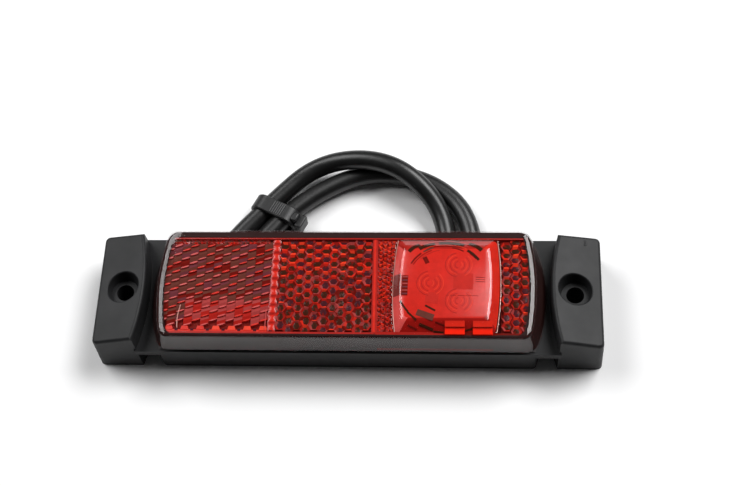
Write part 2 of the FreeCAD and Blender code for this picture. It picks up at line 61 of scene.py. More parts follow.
# ---------------------------------------------------------------- camera and cable

def make_camera():
    """A long lens from above the front, turned a little to the right and rolled."""
    target = Vector((3.31, 19.88, 0)) * MM
    distance = 363.6 * MM
    elevation, turn, roll = (math.radians(angle) for angle in (62.885, 10.225, -8.981))
    back = Vector((math.sin(turn) * math.cos(elevation), -math.cos(turn) * math.cos(elevation),
                   math.sin(elevation)))
    right = Z_UP.cross(back).normalized()
    up = back.cross(right)
    rolled = (math.cos(roll) * right + math.sin(roll) * up, math.cos(roll) * up - math.sin(roll) * right)
    data = bpy.data.cameras.new("camera")
    data.sensor_width = 36.0
    data.lens = 66.2
    camera = bpy.data.objects.new("camera", data)
    columns = Matrix((rolled[0], rolled[1], back)).transposed().to_4x4()
    camera.matrix_world = Matrix.Translation(target + back * distance) @ columns
    bpy.context.collection.objects.link(camera)
    bpy.context.scene.camera = camera


CABLE_ROUTE = [
    (-1, -2, 3.7), (12.5, -2, 2.7), (25.7, 9, 2.7), (24.9, 26.5, 3.5), (15.2, 36.9, 8.8),
    (3.2, 41.9, 8.3), (-11.2, 41.3, 4.7), (-22.2, 30.2, 3.9), (-35.2, 15.2, 3.2),
    (-36.7, 4.4, 2.7), (-32.1, -5.3, 2.7), (-23, -11, 2.7), (-6, -11.3, 2.7),
    (10.5, -10.4, 2.7), (24.8, -5, 2.7), (32.6, 8.5, 2.7), (31.3, 27.3, 2.7),
    (19.6, 38.2, 2.7), (3, 40.6, 2.7), (-12.5, 32.3, 3.6), (-24.7, 19.2, 3.7),
    (-28.9, 9.8, 2.8), (-29, 2, 2.7),
]
CORE_ROUTES = {
    "positive": [(-28, 2, 2.7), (-27.8, -0.6, 2), (-25.4, -2.8, 1.2), (-22, -3.2, 1)],
    "negative": [(-30, 2, 2.7), (-29.8, -1.6, 2), (-27, -4.8, 1.2), (-23, -5.8, 1)],
}
CABLE_DIAMETER = 5.2
CORE_DIAMETER = 1.9


def spline_curve(name, points, diameter):
    """A round cord along one smooth spline."""
    data = bpy.data.curves.new(name, "CURVE")
    data.dimensions = "3D"
    spline = data.splines.new("NURBS")
    spline.points.add(len(points) - 1)
    for control, point in zip(spline.points, points):
        control.co = (*(Vector(point) * MM), 1)
    spline.order_u = 3
    spline.use_endpoint_u = True
    spline.resolution_u = 10
    data.bevel_depth = diameter / 2 * MM
    data.bevel_resolution = 6
    data.use_fill_caps = True
    curve = bpy.data.objects.new(name, data)
    bpy.context.collection.objects.link(curve)
    return curve


# ---------------------------------------------------------------- materials

def shader_nodes(name):
    """A fresh node material, its tree and its Principled shader."""
    material = bpy.data.materials.new(name)
    material.use_nodes = True
    tree = material.node_tree
    return material, tree, tree.nodes["Principled BSDF"]


def node(tree, kind, **inputs):
    """Adds a node and sets its inputs by name (underscores for spaces)."""
    made = tree.nodes.new(kind)
    for key, setting in inputs.items():
        made.inputs[key.replace("_", " ")].default_value = setting
    return made


def place(tree):
    """The object's own coordinates, in metres."""
    return tree.nodes.new("ShaderNodeTexCoord").outputs["Object"]


def noise(tree, scale, detail=3.0, rough=0.55):
    """A noise texture in object space; scale counts features per metre."""
    made = node(tree, "ShaderNodeTexNoise", Scale=scale, Detail=detail, Roughness=rough)
    tree.links.new(place(tree), made.inputs["Vector"])
    return made.outputs["Fac"]


def ramp(tree, source, low, high, start=0.3, end=0.7):
    """Maps a texture to two colours."""
    made = tree.nodes.new("ShaderNodeValToRGB")
    made.color_ramp.elements[0].position = start
    made.color_ramp.elements[1].position = end
    made.color_ramp.elements[0].color = (*low, 1)
    made.color_ramp.elements[1].color = (*high, 1)
    tree.links.new(source, made.inputs["Fac"])
    return made.outputs["Color"]


def spread(tree, source, low, high):
    """Maps a texture from 0..1 to a range of numbers."""
    made = node(tree, "ShaderNodeMapRange", To_Min=low, To_Max=high)
    tree.links.new(source, made.inputs["Value"])
    return made.outputs["Result"]


def bump(tree, shader, source, height, strength=1.0):
    """Raises a texture as bump by a height in metres."""
    made = node(tree, "ShaderNodeBump", Strength=strength, Distance=height)
    tree.links.new(source, made.inputs["Height"])
    tree.links.new(made.outputs["Normal"], shader.inputs["Normal"])


def moulded(name, low, high, rough=(0.35, 0.5), grain=2200.0, depth=0.00003, mottling=90.0, coat=0.0,
             shine=0.5):
    """Moulded plastic or rubber: two close tones, uneven gloss, fine grain."""
    material, tree, shader = shader_nodes(name)
    tree.links.new(ramp(tree, noise(tree, mottling), low, high), shader.inputs["Base Color"])
    tree.links.new(spread(tree, noise(tree, mottling * 3), *rough), shader.inputs["Roughness"])
    shader.inputs["Specular IOR Level"].default_value = shine
    shader.inputs["Coat Weight"].default_value = coat
    shader.inputs["Coat Roughness"].default_value = 0.15
    bump(tree, shader, noise(tree, grain, 2.0), depth, 0.35)
    return material


def red_facet(name, low, high, shine, rough=0.25):
    """Red reflector plastic with an uneven tone; its lit, shaded and pink copies carry painted highlight,
    painted shade and painted reflection.
    """
    material, tree, shader = shader_nodes(name)
    tone = ramp(tree, noise(tree, 420.0, 4.0), low, high, 0.35, 0.65)
    tree.links.new(tone, shader.inputs["Base Color"])
    shader.inputs["Roughness"].default_value = rough
    shader.inputs["Specular IOR Level"].default_value = shine
    bump(tree, shader, noise(tree, 2600.0, 2.0), 0.00004, 0.3)
    return material


def clear_cover(name):
    """Polished clear plastic: a faint red film you look through, with a true gloss outside."""
    material, tree, film = shader_nodes(name)
    film.inputs["Base Color"].default_value = (0.5, 0.02, 0.015, 1)
    film.inputs["Roughness"].default_value = 0.05
    film.inputs["Alpha"].default_value = 0.015
    film.inputs["Specular IOR Level"].default_value = 0.0
    fresnel = node(tree, "ShaderNodeFresnel", IOR=1.49)
    outside = tree.nodes.new("ShaderNodeMath")
    outside.operation = "SUBTRACT"
    outside.inputs[0].default_value = 1.0
    tree.links.new(tree.nodes.new("ShaderNodeNewGeometry").outputs["Backfacing"], outside.inputs[1])
    share = tree.nodes.new("ShaderNodeMath")
    share.operation = "MULTIPLY"
    tree.links.new(fresnel.outputs["Fac"], share.inputs[0])
    tree.links.new(outside.outputs["Value"], share.inputs[1])
    shine = node(tree, "ShaderNodeBsdfAnisotropic")
    tree.links.new(spread(tree, noise(tree, 60.0, 1.0), 0.02, 0.05), shine.inputs["Roughness"])
    mix = tree.nodes.new("ShaderNodeMixShader")
    tree.links.new(share.outputs["Value"], mix.inputs["Fac"])
    tree.links.new(film.outputs["BSDF"], mix.inputs[1])
    tree.links.new(shine.outputs["BSDF"], mix.inputs[2])
    tree.links.new(mix.outputs["Shader"], tree.nodes["Material Output"].inputs["Surface"])
    return material


def metal(name, colour, rough):
    """Bright tin, solder or vacuum-coated metal."""
    material, tree, shader = shader_nodes(name)
    shader.inputs["Metallic"].default_value = 1.0
    tree.links.new(ramp(tree, noise(tree, 900.0), tuple(c * 0.8 for c in colour), colour),
                   shader.inputs["Base Color"])
    tree.links.new(spread(tree, noise(tree, 700.0), rough, rough + 0.15), shader.inputs["Roughness"])
    return material


housing_black = moulded("housing_black", (0.011, 0.0115, 0.012), (0.018, 0.018, 0.019), (0.42, 0.52),
                        shine=0.22)
cable_black = moulded("cable_black", (0.005, 0.005, 0.005), (0.010, 0.010, 0.010), (0.3, 0.42), 1500.0,
                      0.00005, 140.0)
tie_black = moulded("tie_black", (0.010, 0.010, 0.0105), (0.018, 0.018, 0.0185), (0.32, 0.44),
                    shine=0.4)
# painted highlight: the tie's grip ridges get a lighter grey than the black nylon band
ridge_highlight_grey = moulded("tie_ridge_highlight_grey", (0.07, 0.07, 0.071), (0.11, 0.11, 0.112), (0.3, 0.4))
edge_black = moulded("lens_edge_black", (0.011, 0.0098, 0.0092), (0.017, 0.015, 0.014), (0.5, 0.6),
                     shine=0.05)
weld_dark = moulded("weld_dark", (0.01, 0.008, 0.008), (0.018, 0.014, 0.014), (0.5, 0.65), 3000.0)
clear_red = clear_cover("clear_red_cover")

# the red plastic of the optics, from its brightest facets to its darkest: one plastic in lit and shaded
# copies, the brightness painted highlight and painted shade, the pink tones painted reflection
TONES = {
    "painted_glint": (0.86, 0.050, 0.018), "bright": (0.69, 0.021, 0.009), "window": (0.64, 0.018, 0.009),
    "window_shade": (0.55, 0.016, 0.008),
    "warm": (0.40, 0.013, 0.008), "rose": (0.38, 0.050, 0.047), "rose_light": (0.62, 0.085, 0.080),
    "saturated": (0.37, 0.007, 0.004), "deep": (0.15, 0.007, 0.004), "brown_red": (0.125, 0.036, 0.026),
    "plum_red": (0.14, 0.034, 0.042), "brown": (0.034, 0.011, 0.004), "plum": (0.046, 0.009, 0.014),
    "pale": (0.70, 0.34, 0.29), "bevel": (0.80, 0.095, 0.085),
    "flame": (0.98, 0.018, 0.004), "umber": (0.23, 0.042, 0.036),
}
REDS = [red_facet(f"red_{name}", tuple(c * 0.86 for c in colour), colour, 0.35 if colour[0] > 0.2 else 0.08)
        for name, colour in TONES.items()]
(PAINTED_GLINT, BRIGHT, WINDOW, WINDOW_SHADE, WARM, ROSE, ROSE_LIGHT, SATURATED, DEEP, BROWN_RED, PLUM_RED,
 BROWN, PLUM, PAINTED_PALE_HIGHLIGHT, BEVEL, PAINTED_HOTSPOT, UMBER) = range(len(TONES))


# ---------------------------------------------------------------- mesh helpers

class Shell:
    """Vertices and faces of one piece, collected in millimetres."""

    def __init__(self):
        self.points, self.faces, self.slots = [], [], []

    def add(self, points):
        """Adds points and returns their numbers."""
        first = len(self.points)
        self.points += [Vector(point) for point in points]
        return list(range(first, len(self.points)))

    def face(self, numbers, slot=0):
        """Adds one face."""
        self.faces.append(tuple(numbers))
        self.slots.append(slot)

    def bridge(self, low, high, slot=0):
        """Quads between two closed rings of the same length."""
        for here in range(len(low)):
            there = (here + 1) % len(low)
            self.face((low[here], low[there], high[there], high[here]), slot)

    def stack(self, rings, slot=0):
        """Bridges a list of loops of points in order; returns their numbers."""
        numbers = [self.add(ring) for ring in rings]
        for low, high in zip(numbers, numbers[1:]):
            self.bridge(low, high, slot)
        return numbers

    def block(self, low, high, slot=0):
        """A closed box between two corners."""
        (x0, y0, z0), (x1, y1, z1) = low, high
        self.solid([(x0, y0), (x1, y0), (x1, y1), (x0, y1)], z0, z1, slot)

    def solid(self, plan, bottom, top, slot=0, shrink=0.0):
        """A closed prism over a flat plan, its top drawn in by shrink."""
        centre = sum((Vector(point) for point in plan), Vector((0, 0))) / len(plan)
        upper = [centre + (Vector(point) - centre) * (1 - shrink) for point in plan]
        self.closed([(*point, bottom) for point in plan], [(*point, top) for point in upper], slot)

    def closed(self, low, high, slot=0):
        """A closed body between two rings of points."""
        rings = self.stack([low, high], slot)
        self.face(reversed(rings[0]), slot)
        self.face(rings[1], slot)

    def wedge(self, span, section, slot=0):
        """A closed bar along X with a section given as (y, z) points."""
        rings = self.stack([[(x, y, z) for y, z in section] for x in span], slot)
        self.face(rings[0], slot)
        self.face(reversed(rings[1]), slot)

    def cone(self, plan, bottom, tip, slots):
        """A closed pyramid over a flat plan, one slot per side."""
        base, apex = self.add([(*point, bottom) for point in plan]), self.add([tip])[0]
        for side, slot in enumerate(slots):
            self.face((base[side], base[(side + 1) % len(base)], apex), slot)
        self.face(reversed(base), slots[0])


def piece(name, shell, materials, replaced=(), smooth=32.0, setup=None):
    """Turns a shell into an object that rides with the lamp."""
    mesh = bpy.data.meshes.new(name)
    mesh.from_pydata([point * MM for point in shell.points], [], shell.faces)
    for material in materials:
        mesh.materials.append(material)
    for polygon, number in zip(mesh.polygons, shell.slots):
        polygon.material_index = number
        polygon.use_smooth = True
    made = bpy.data.objects.new(name, mesh)
    bpy.context.collection.objects.link(made)
    work = bmesh.new()
    work.from_mesh(mesh)
    if setup:
        setup(work)
    bmesh.ops.recalc_face_normals(work, faces=work.faces)
    work.to_mesh(mesh)
    work.free()
    mesh.set_sharp_from_angle(angle=math.radians(smooth))
    return settle(made, replaced)


def settle(made, replaced=()):
    """Hands a finished piece to the frame."""
    if replaced:
        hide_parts(*replaced)
    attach(made, BODY)
    return made


def soften(made, width, segments=3, angle=35.0):
    """Rounded edges, with shading that keeps the flat faces flat."""
    bevel = made.modifiers.new("rounded", "BEVEL")
    bevel.width = width * MM
    bevel.segments = segments
    bevel.limit_method = "ANGLE"
    bevel.angle_limit = math.radians(angle)
    bevel.use_clamp_overlap = True
    flat = made.modifiers.new("even_shading", "WEIGHTED_NORMAL")
    flat.keep_sharp = True
    return made


def loop(corners, crowns, radius, side_steps=10, corner_steps=6):
    """A closed plan: four corners, sides that bulge by their crowns, rounded corners."""
    spots = [Vector(corner) for corner in corners]
    sides = []
    for number, start in enumerate(spots):
        end = spots[(number + 1) % len(spots)]
        along = end - start
        outward = Vector((along.y, -along.x)).normalized()
        trim = min(0.45, radius / along.length)
        steps = [trim + (1 - 2 * trim) * step / side_steps for step in range(side_steps + 1)]
        sides.append([start + along * t + outward * crowns[number] * 4 * t * (1 - t) for t in steps])
    points = []
    for number, side in enumerate(sides):
        points += side
        following = sides[(number + 1) % len(sides)]
        corner = spots[(number + 1) % len(spots)]
        for step in range(1, corner_steps):
            t = step / corner_steps
            points.append(side[-1] * (1 - t) ** 2 + corner * 2 * t * (1 - t) + following[0] * t ** 2)
    return points


def raised(plan, height):
    """A flat plan at a height."""
    return [Vector((point.x, point.y, height)) for point in plan]


def window_plan(inset, rise):
    """The raised window's plan, from its foot (rise 0) to its crown (rise 1), drawn in by inset."""
    foot = [(12.6, -13.75), (38.0, -13.75), (38.5, 12.2), (12.9, 12.2)]
    crown = [(14.7, -10.8), (35.8, -10.8), (36.2, 9.4), (14.9, 9.4)]
    drawn = []
    for (fx, fy), (cx, cy), (sx, sy) in zip(foot, crown, ((1, 1), (-1, 1), (-1, -1), (1, -1))):
        drawn.append((fx + (cx - fx) * rise + inset * sx, fy + (cy - fy) * rise + inset * sy))
    return loop(drawn, (0, 0.9, 0, 0.9), 1.1 - 0.2 * rise)


# ---------------------------------------------------------------- lens

def lens_plan(corner, bulge, front, back, radius):
    """The lens seen from above: straight long sides, gently bowed ends."""
    bow = bulge - corner
    corners = [(-corner, front), (corner, front), (corner, back), (-corner, back)]
    return loop(corners, (0, bow, 0, bow), radius)


def lens_ring(height, inset=0.0, drawn=0.0):
    """The lens outline at a height, drawn in evenly by inset and over the rounded edge by drawn."""
    t = (height - LENS_FOOT) / (FACE - LENS_FOOT)
    side = 15.6 - 0.7 * t - inset
    corner, bulge = 48 - 1.7 * t - inset - 1.6 * drawn, 51 - 3.1 * t - inset - 1.9 * drawn
    return lens_plan(corner, bulge, 0.6 * drawn - side, side - 0.5 * drawn, 2.3)


def lens_edge_rings(inset=0.0, top=FACE):
    """Rings up the wall and over the rounded edge of the face."""
    fall = 0.85
    rings = [raised(lens_ring(height, inset), height)
             for height in (LENS_FOOT, LENS_FOOT + 0.25, 12.0, 14.5, top - fall)]
    for step in range(1, 9):
        angle = math.radians(90 / 8 * step)
        plan = lens_ring(top - fall, inset, 1 - math.cos(angle))
        rings.append(raised(plan, top - fall * (1 - math.sin(angle))))
    return rings


def make_lens():
    """Clear cover: wall, rounded edge, face with the raised window."""
    shell = Shell()
    walls = shell.stack(lens_edge_rings())
    pad = []
    for rise, inset, height in (
            (0, -0.12, 0), (0, 0, 0.03), (0.04, 0, 0.12), (0.8, 0, 1.6), (0.86, 0.03, 1.74),
            (0.93, 0.12, 1.88), (1, 0.3, 1.965), (1, 0.65, WINDOW_RISE)):
        pad.append(raised(window_plan(inset, rise), FACE + height))
    rings = shell.stack(pad)
    shell.face(rings[-1])

    def fill_face(work):
        """Closes the face between its edge and the foot of the window."""
        work.verts.ensure_lookup_table()
        edges = []
        for ring in (walls[-1], rings[0]):
            for here, there in zip(ring, ring[1:] + ring[:1]):
                edges.append(work.edges.get((work.verts[here], work.verts[there])))
        bmesh.ops.triangle_fill(work, edges=edges, use_beauty=True)

    made = piece("lens_moulding", shell, [clear_red], ["lens_cover"], 40.0, fill_face)
    skin = made.modifiers.new("wall", "SOLIDIFY")
    skin.thickness = 0.1 * MM
    skin.offset = -1.0
    flat = made.modifiers.new("even_shading", "WEIGHTED_NORMAL")
    flat.keep_sharp = True


def make_lens_edge():
    """The deep-coloured thickness of the lens round the reflex panels."""
    shell = Shell()
    crown = FACE - 0.3
    outer = lens_edge_rings(0.3, crown)
    border = [raised(lens_plan(45.6 - cut, 46.9 - cut, cut - 13.9, 12.85 - cut, 0.5), height)
              for cut, height in ((0.0, crown), (0.05, crown - 1.2), (0.3, LENS_FOOT))]
    rings = shell.stack(outer + border)
    shell.bridge(rings[-1], rings[0])
    piece("lens_edge_tint", shell, [edge_black])
    lip = Shell()
    lip.block((-45.4, 12.45, crown - 1.4), (45.9, 12.85, crown - 0.1), WARM)
    lip.block((-45.4, -14.0, crown - 1.4), (8.0, -13.3, crown - 0.3), WARM)
    lip.block((38.0, -14.0, crown - 1.4), (45.6, -13.3, crown - 0.3), DEEP)
    # painted highlight: the two brightest squares along the front edge, in line with the window's front
    # bevel
    for left, right, tone in ((8.0, 25.3, WARM), (25.3, 30.2, PAINTED_HOTSPOT), (30.2, 32.2, DEEP),
                              (32.2, 37.1, PAINTED_HOTSPOT), (37.1, 38.0, DEEP)):
        lip.wedge((left, right), ((-14.5, crown - 0.55), (-14.1, crown - 0.02), (-13.3, crown + 0.1),
                                  (-13.3, crown - 1.4), (-14.5, crown - 1.4)), tone)
    lip.wedge((8.2, 37.2), ((-15.3, 10.1), (-15.18, 10.95), (-15.0, 10.95), (-15.0, 10.1)), DEEP)
    piece("lens_edge_lines", lip, REDS)


# ---------------------------------------------------------------- reflex panels

CELL_X, CELL_Y = 2.14, 2.45


def border(y):
    """Half length of the prism field at a distance across the lamp."""
    return 45.5 + 1.3 * (1 - ((y + 0.4) / 13.1) ** 2)


def hex_corners(x, y, radius, wide=1.0, tall=1.0, turn=0.0):
    """A hexagon with corners to the left and right."""
    return [(x + radius * math.cos(math.radians(60 * step + turn)) * wide,
             y + radius * math.sin(math.radians(60 * step + turn)) * tall) for step in range(6)]


def hex_panel(name, left, right, scale, pit, replaced, front=-13.3, back=12.6):
    """Hexagonal prisms: facets above and below bright as painted highlight, round a sunken middle dark as
    painted shade.
    """
    shell = Shell()
    step_x, step_y = CELL_X * scale, CELL_Y * scale
    shell.block((left - 0.3, front, PRISM_TOP - 1.2), (min(right, 45.2), back, PRISM_TOP - 0.9), DEEP)
    columns = round((right - left) / step_x)
    for column in range(columns):
        x = left + (column + 0.5) * (right - left) / columns
        y = front + step_y * (0.25 if column % 2 else 0.75)
        while y < back and x < border(y):
            hex_prism(shell, x, y, step_y / math.sqrt(3), step_x / step_y * 1.155, pit)
            y += step_y
    piece(name, shell, REDS, replaced, 12.0)


def hex_prism(shell, x, y, radius, widen, pit_size):
    """One prism: six facets of uneven brightness, painted highlight and painted shade, round a faceted
    middle coloured dark as painted shade.
    """
    high = max(0.0, min(1.0, (y + 4) / 14))
    lean = dice.uniform(-0.12, 0.12) * radius
    wide = pit_size * (0.92 + 0.3 * high) * dice.uniform(0.9, 1.1)
    tall = pit_size * (1.12 - 0.32 * high) * dice.uniform(0.9, 1.1)
    top = PRISM_TOP - 0.1
    ridge = shell.add([(*corner, top) for corner in hex_corners(x, y, radius, widen, 1.0)])
    middle = hex_corners(x + lean, y + lean * 0.5, radius, wide * widen, tall, dice.uniform(-12, 12))
    floor = shell.add([(*corner, top - 0.4) for corner in middle])
    apex = shell.add([(x + lean * 2, y - lean, top - 0.25)])[0]
    skirt = shell.add([(*corner, top - 0.9) for corner in hex_corners(x, y, radius, widen, 1.0)])
    # painted shade: the sunken middle is coloured dark brown or plum
    pit = dice.choices((BROWN, PLUM), (5, 3))[0]
    for side in range(6):
        following = (side + 1) % 6
        # painted highlight: the facets above and below take the brightest tones, more often in rows further
        # back; the other facets take darker tones as painted shade
        if side in (1, 4):
            tone = dice.choices((PAINTED_GLINT, BRIGHT, ROSE, WARM), (2 + 4 * high, 3, 2.5 - 2 * high, 1))[0]
        else:
            tone = dice.choices((BRIGHT, WARM, ROSE, DEEP), (1, 3, 2.5, 3.5))[0]
        shell.face((ridge[side], ridge[following], floor[following], floor[side]), tone)
        shell.face((floor[side], floor[following], apex), pit if dice.random() < 0.9 else DEEP)
        shell.face((skirt[side], skirt[following], ridge[following], ridge[side]), DEEP)
    shell.face(reversed(skirt), DEEP)


def make_wide_angle_panel():
    """Prisms leaning to one side: slanted dashes bright as painted highlight over facets dark as painted
    shade, and a paler pad in front.
    """
    shell = Shell()
    left, right = -45.2, -19.15
    shell.block((left, -13.4, PRISM_TOP - 1.2), (right, 12.6, PRISM_TOP - 0.9), DEEP)
    for column in range(14):
        x = right - (column + 1) * CELL_X
        for row in range(11):
            y = -13.1 + row * CELL_Y + (CELL_Y / 2 if column % 2 else 0.0)
            end = max(x, -border(y + 1))
            if end > x + CELL_X - 0.4:
                continue
            if -12.4 < y < -6.9 and x > -42.5:
                leaning_prism(shell, x, y, 0.45, (ROSE, ROSE, WARM), (ROSE_LIGHT, ROSE_LIGHT, BRIGHT),
                              end)
            elif -12.4 < y < 10.9:
                leaning_prism(shell, x, y, 0.5, (BROWN_RED, BROWN_RED, BROWN_RED, PLUM_RED, DEEP),
                              (BRIGHT, ROSE_LIGHT, ROSE_LIGHT), end)
    x = left
    while x < right - 0.9:
        # painted light and shade: each small pyramid has a warm side and a brown-red side, its other two
        # sides a random tone
        for y in (11.3, 12.05):
            tone = dice.choices((BRIGHT, WARM, BROWN_RED, ROSE), (3, 3, 3, 2))[0]
            tip = (x + dice.uniform(0.2, 0.85), y + 0.3, PRISM_TOP - 0.12)
            shell.cone([(x, y), (x + 1.05, y), (x + 1.05, y + 0.72), (x, y + 0.72)], PRISM_TOP - 0.5,
                       tip, (tone, WARM, BROWN_RED, tone))
        x += 1.05
    # painted highlight on the front band and its teeth, the teeth further right the brightest; plum blocks
    # between the teeth are painted shade in the gaps
    shell.block((left, -13.85, PRISM_TOP - 0.9), (right, -12.75, PRISM_TOP - 0.2), BRIGHT)
    for tooth in range(7):
        x = -45.1 + tooth * 2 * CELL_X * 0.93
        shell.solid([(x, -12.9), (x + 2.2, -12.9), (x + 1.9, -11.75), (x + 0.3, -11.75)], PRISM_TOP - 0.9,
                    PRISM_TOP - 0.08, PAINTED_GLINT if tooth > 2 else BRIGHT, 0.06)
        shell.block((x + 2.6, -13.1, PRISM_TOP - 0.9), (x + 3.4, -12.5, PRISM_TOP - 0.14), PLUM)
    # painted highlight: a thin pale curved line near the left end
    for turn in range(10):
        low, high = turn / 10, (turn + 1) / 10
        line = [(-42.2 + 0.5 * (t - 0.35) ** 2 * 2.4, -12.3 + 6.2 * t) for t in (low, high)]
        shell.solid([line[0], (line[0][0] + 0.16, line[0][1]), (line[1][0] + 0.16, line[1][1]), line[1]],
                    PRISM_TOP - 0.6, PRISM_TOP + 0.02, PAINTED_PALE_HIGHLIGHT)
    shell.block((-19.75, -12.6, PRISM_TOP - 0.6), (-19.6, -7.2, PRISM_TOP), ROSE_LIGHT)
    piece("wide_angle_prisms", shell, REDS, ["reflex_panel_wide_angle"], 14.0)


def leaning_prism(shell, x, y, width, shaded_tones, bright, end):
    """One slanted prism from its end in x: two facets dark as painted shade meet in a ridge, then a spindle
    bright as painted highlight.
    """
    lean = 0.3 * (x + CELL_X - end)
    near, far = (end, y + 0.3 * (end - x)), (x + CELL_X, y + 0.3 * CELL_X)
    heights = (PRISM_TOP - 0.6, PRISM_TOP - 0.25 - dice.uniform(0, 0.1), PRISM_TOP - 0.6)
    offsets = (width * 0.6, width + (CELL_Y - width) * dice.uniform(0.4, 0.6), CELL_Y + 0.1)
    rows = [shell.add([(px, py + offset, height) for offset, height in zip(offsets, heights)]
                      + [(px, py + offsets[2], heights[2] - 0.3), (px, py + offsets[0], heights[0] - 0.3)])
            for px, py in (near, far)]
    for strip in range(5):
        following = (strip + 1) % 5
        tone = dice.choice(shaded_tones) if strip < 2 else DEEP
        shell.face((rows[0][strip], rows[1][strip], rows[1][following], rows[0][following]), tone)
    shell.face(reversed(rows[0]), DEEP)
    shell.face(rows[1], DEEP)
    swell = width * dice.uniform(0.8, 1.2)
    spindle = ((-0.03, 0.3), (0.3, 0.05), (0.75, 0.0), (1.04, 0.35), (1.02, 0.75), (0.66, 1.0), (0.1, 0.8))
    reach = x + CELL_X - end
    plan = [(end + reach * t, near[1] + lean * t + swell * (u - 0.1)) for t, u in spindle]
    shell.solid(plan, PRISM_TOP - 0.9, PRISM_TOP - 0.06, dice.choice(bright), 0.12)


def make_strip():
    """A column of smooth bright pillows between the two large panels, darker round each edge as painted
    shade.
    """
    shell = Shell()
    left, right, steps = -19.15, -17.1, 6
    y = -13.3
    while y < 12.4:
        rows = []
        for across in range(steps + 1):
            u = across / steps
            column = []
            for along in range(steps + 1):
                v = along / steps
                swell = (math.sin(math.pi * u) * math.sin(math.pi * v)) ** 0.6
                column.append((left + (right - left) * u, y + CELL_Y * v, PRISM_TOP - 0.3 + 0.24 * swell))
            rows.append(shell.add(column))
        for across, (near, far) in enumerate(zip(rows, rows[1:])):
            for along in range(steps):
                # painted shade: the outer ring of faces of each pillow takes a darker tone than its middle
                inner = 0 < across < steps - 1 and 0 < along < steps - 1
                shell.face((near[along], far[along], far[along + 1], near[along + 1]),
                           BRIGHT if inner else WARM)
        rim = [row[0] for row in rows] + rows[-1][1:] + [row[-1] for row in reversed(rows[:-1])]
        rim += list(reversed(rows[0]))[1:-1]
        under = shell.add([shell.points[number] - Vector((0, 0, 0.6)) for number in rim])
        shell.bridge(under, rim, DEEP)
        shell.face(reversed(under), DEEP)
        y += CELL_Y
    piece("bright_strip_pillows", shell, REDS, ["reflex_panel_strip"], 50.0)


# ---------------------------------------------------------------- light window

def make_light_box_edge():
    """The top edge of the light box wall, seen as a thin line beside the fine prisms, its brighter top
    stripe painted highlight.
    """
    shell = Shell()
    shell.solid([(7.0, -13.4), (8.4, -13.4), (8.0, 12.6), (6.6, 12.6)],
                PRISM_TOP - 1.0, PRISM_TOP - 0.05, WARM)
    shell.solid([(7.35, -13.3), (7.95, -13.3), (7.5, 12.5), (6.95, 12.5)],
                PRISM_TOP - 0.2, PRISM_TOP + 0.05, BRIGHT)
    piece("light_box_edge", shell, REDS)


def core_height(x, y):
    """Height of the coloured body under the window at a point of its plan."""
    bow = 0.9 * (1 - (y / 13) ** 2)
    rise = min((y + 13.75) / 2.95, (12.2 - y) / 2.8, (x - 12.9 + bow) / 2.1, (38.3 + bow - x) / 2.2)
    return FACE - 0.3 + 2.0 * max(0.0, min(1.0, rise))


def drape(shell, spine, width, slot, lift=0.06, steps=8):
    """A flat strip along a line of points, laid over the coloured body."""
    reach = []
    for here, there in zip(spine, spine[1:]):
        start, end = Vector(here), Vector(there)
        reach += [start.lerp(end, step / steps) for step in range(steps)]
    reach.append(Vector(spine[-1]))
    rows = []
    for number, spot in enumerate(reach):
        ahead = reach[min(number + 1, len(reach) - 1)] - reach[max(number - 1, 0)]
        side = Vector((-ahead.y, ahead.x)).normalized() * width / 2
        edges = [spot - side, spot + side]
        heights = [core_height(*edge) for edge in edges]
        rows.append(shell.add([(*edges[0], heights[0] - 0.3), (*edges[0], heights[0] + lift),
                               (*edges[1], heights[1] + lift), (*edges[1], heights[1] - 0.3)]))
    for low, high in zip(rows, rows[1:]):
        shell.bridge(low, high, slot)
    shell.face(reversed(rows[0]), slot)
    shell.face(rows[-1], slot)


def arc(centre, radius, start, end, steps=8):
    """Points along an arc, in degrees."""
    return [(centre[0] + radius * math.cos(math.radians(start + (end - start) * step / steps)),
             centre[1] + radius * math.sin(math.radians(start + (end - start) * step / steps)))
            for step in range(steps + 1)]


